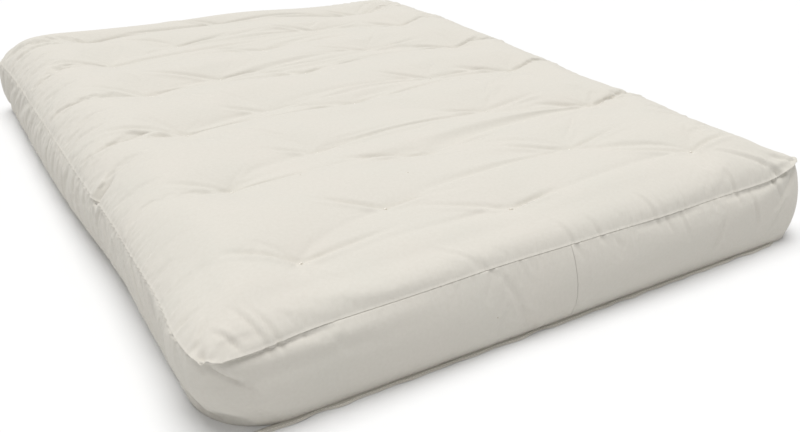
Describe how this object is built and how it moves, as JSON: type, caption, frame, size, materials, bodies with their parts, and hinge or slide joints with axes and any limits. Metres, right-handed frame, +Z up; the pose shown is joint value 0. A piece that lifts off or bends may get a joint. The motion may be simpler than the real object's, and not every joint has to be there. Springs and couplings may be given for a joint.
{
  "type": "futon mattress",
  "caption": "Thick tufted futon mattress in natural cotton: boxed casing over cotton batting and foam, tied through with twine, folding along its middle.",
  "frame": {"origin": "middle of the underside, on the floor", "axes": "+Z up through the thickness, +X across the width and over the fold line, +Y along the length"},
  "size_m": [1.524, 2.032, 0.2553],
  "materials": {
    "casing_cotton": "matte",
    "cotton_batting": "matte",
    "foam": "matte",
    "tuft_twine": "matte"
  },
  "bodies": {
    "seat_half": {"casing_top_seat": "casing_cotton", "casing_border_seat": "casing_cotton", "casing_bottom_seat": "casing_cotton", "closing_seam_seat": "casing_cotton", "batting_bottom_outer_seat": "cotton_batting", "batting_bottom_inner_seat": "cotton_batting", "foam_core_lower_seat": "foam", "batting_middle_seat": "cotton_batting", "foam_core_upper_seat": "foam", "batting_top_inner_seat": "cotton_batting", "batting_top_outer_seat": "cotton_batting", "tuft_c1_r1": "tuft_twine", "tuft_c1_r2": "tuft_twine", "tuft_c1_r3": "tuft_twine", "tuft_c1_r4": "tuft_twine", "tuft_c1_r5": "tuft_twine", "tuft_c1_r6": "tuft_twine", "tuft_c2_r1": "tuft_twine", "tuft_c2_r2": "tuft_twine", "tuft_c2_r3": "tuft_twine", "tuft_c2_r4": "tuft_twine", "tuft_c2_r5": "tuft_twine", "tuft_c3_r1": "tuft_twine", "tuft_c3_r2": "tuft_twine", "tuft_c3_r3": "tuft_twine", "tuft_c3_r4": "tuft_twine", "tuft_c3_r5": "tuft_twine", "tuft_c3_r6": "tuft_twine"},
    "back_half": {"casing_top_back": "casing_cotton", "casing_border_back": "casing_cotton", "casing_bottom_back": "casing_cotton", "closing_seam_back": "casing_cotton", "batting_bottom_outer_back": "cotton_batting", "batting_bottom_inner_back": "cotton_batting", "foam_core_lower_back": "foam", "batting_middle_back": "cotton_batting", "foam_core_upper_back": "foam", "batting_top_inner_back": "cotton_batting", "batting_top_outer_back": "cotton_batting", "tuft_c4_r1": "tuft_twine", "tuft_c4_r2": "tuft_twine", "tuft_c4_r3": "tuft_twine", "tuft_c4_r4": "tuft_twine", "tuft_c4_r5": "tuft_twine", "tuft_c5_r1": "tuft_twine", "tuft_c5_r2": "tuft_twine", "tuft_c5_r3": "tuft_twine", "tuft_c5_r4": "tuft_twine", "tuft_c5_r5": "tuft_twine", "tuft_c5_r6": "tuft_twine"}
  },
  "joints": [
    {"name": "fold", "type": "hinge", "parent": "seat_half", "child": "back_half", "pos_m": [0, 0, 0.2555], "axis": [0, -1, 0], "range_deg": [0, 72]}
  ]
}
